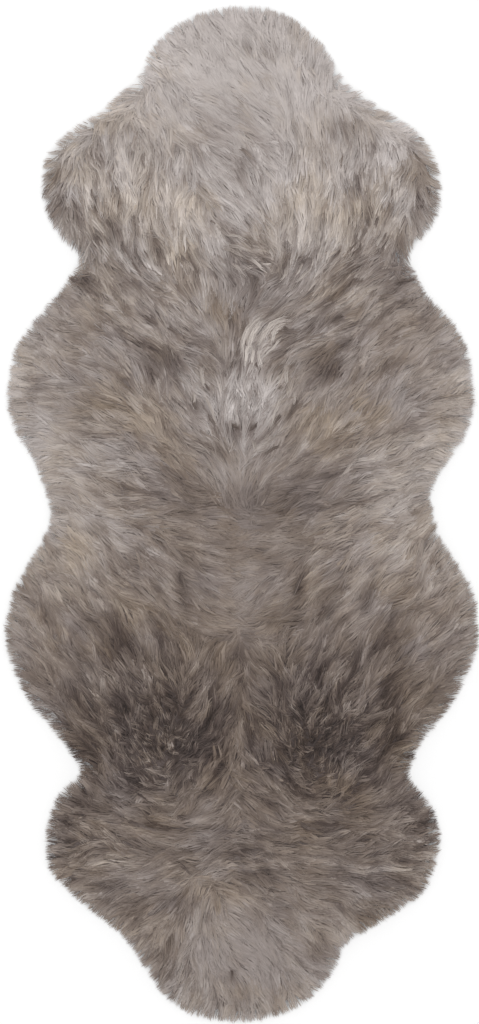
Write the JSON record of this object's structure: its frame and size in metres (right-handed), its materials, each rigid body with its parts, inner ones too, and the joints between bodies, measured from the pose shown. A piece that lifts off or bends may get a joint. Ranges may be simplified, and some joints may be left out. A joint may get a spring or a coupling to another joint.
{
  "type": "sheepskin rug",
  "caption": "Double sheepskin rug: pelts joined rump to rump at a waist, long lying wool over a thin flat hide, with a rim of loose locks resting on the floor.",
  "frame": {"origin": "on the floor, under the centre of the rug's footprint", "axes": "+Y along the rug towards the head of the front pelt, +Z up out of the wool, +X to the right when the rug is seen from above with +Y up"},
  "size_m": [0.841, 1.8044, 0.0531],
  "materials": {
    "hide": "tanned suede",
    "wool": "long lying wool, soft sheen"
  },
  "bodies": {
    "root": {"hide_front": "hide", "hide_back": "hide", "fleece_front": "wool", "fleece_back": "wool"}
  },
  "joints": []
}
